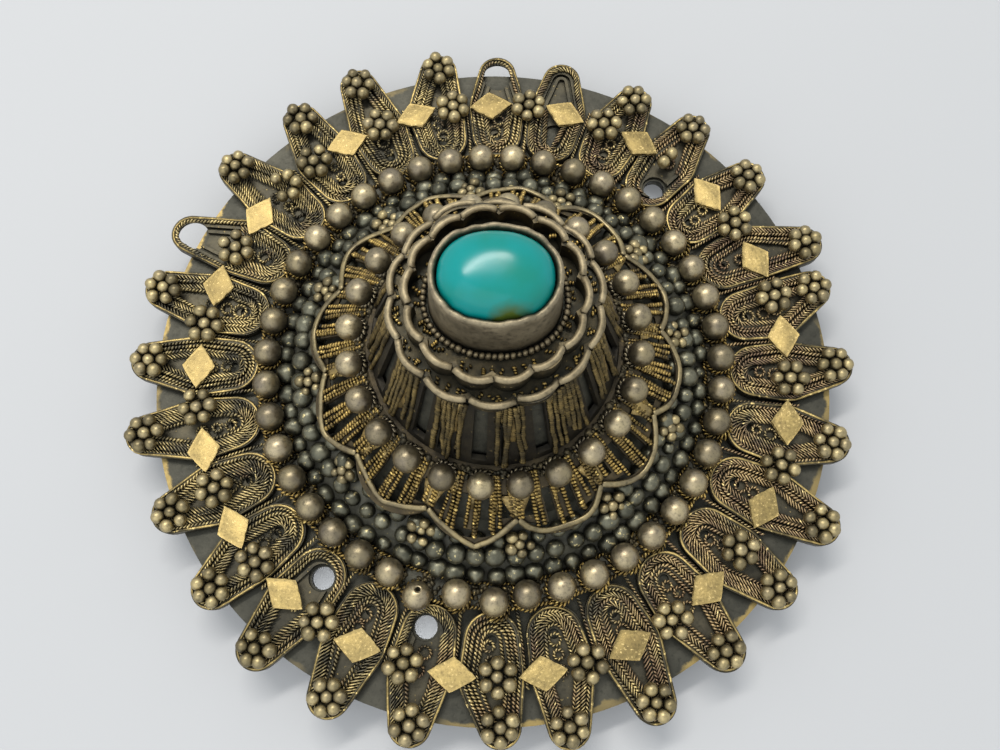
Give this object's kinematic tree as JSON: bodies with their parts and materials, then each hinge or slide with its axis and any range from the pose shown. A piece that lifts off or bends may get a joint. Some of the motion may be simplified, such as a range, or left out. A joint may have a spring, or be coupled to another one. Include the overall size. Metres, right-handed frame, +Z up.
{
  "type": "brooch",
  "caption": "Round domed folk brooch of silver-gilt filigree: leaf-shaped wire petals, granule flowers, bead rings, a stepped openwork dome and an oval turquoise stone on top.",
  "frame": {"origin": "on the axis of the dome, in the plane that the feet of the back pin rest on", "axes": "+Z up out of the back through the stone; +X along the back pin and the long side of the oval stone; right-handed"},
  "size_m": [0.0631, 0.0622, 0.0285],
  "materials": {
    "gilt": "worn gilding over silver, dull with bright high spots",
    "old_gold": "tarnished gilt wire, dark in the recesses",
    "bright_gold": "brighter sheet gold with fine scratches",
    "grey_silver": "gilding worn through to grey silver, soft sheen",
    "dark_sheet": "blackened greenish sheet behind the wire",
    "turquoise": "polished blue-green cabochon with olive-brown patches"
  },
  "bodies": {
    "root": {"back_plate": "dark_sheet", "back_pin": "grey_silver", "petal_01": "old_gold", "petal_02": "old_gold", "petal_03": "old_gold", "petal_04": "old_gold", "petal_05": "old_gold", "petal_06": "old_gold", "petal_07": "old_gold", "petal_08": "old_gold", "petal_09": "old_gold", "petal_10": "old_gold", "petal_11": "old_gold", "petal_12": "old_gold", "petal_13": "old_gold", "petal_14": "old_gold", "petal_15": "old_gold", "petal_16": "old_gold", "petal_17": "old_gold", "petal_18": "old_gold", "petal_19": "old_gold", "petal_20": "old_gold", "petal_21": "old_gold", "petal_22": "old_gold", "petal_23": "old_gold", "petal_24": "old_gold", "petal_25": "old_gold", "petal_26": "old_gold", "petal_27": "old_gold", "petal_28": "old_gold", "tip_clusters": "gilt", "waist_clusters": "gilt", "waist_lozenges": "bright_gold", "outer_beads": "gilt", "dome": "dark_sheet", "calyx": "old_gold", "calyx_beads": "gilt", "notch_clusters": "gilt", "upper_tier": "old_gold", "collar_outer": "grey_silver", "collar_inner": "grey_silver", "bezel": "grey_silver", "bezel_wire": "gilt", "stone": "turquoise"}
  },
  "joints": []
}
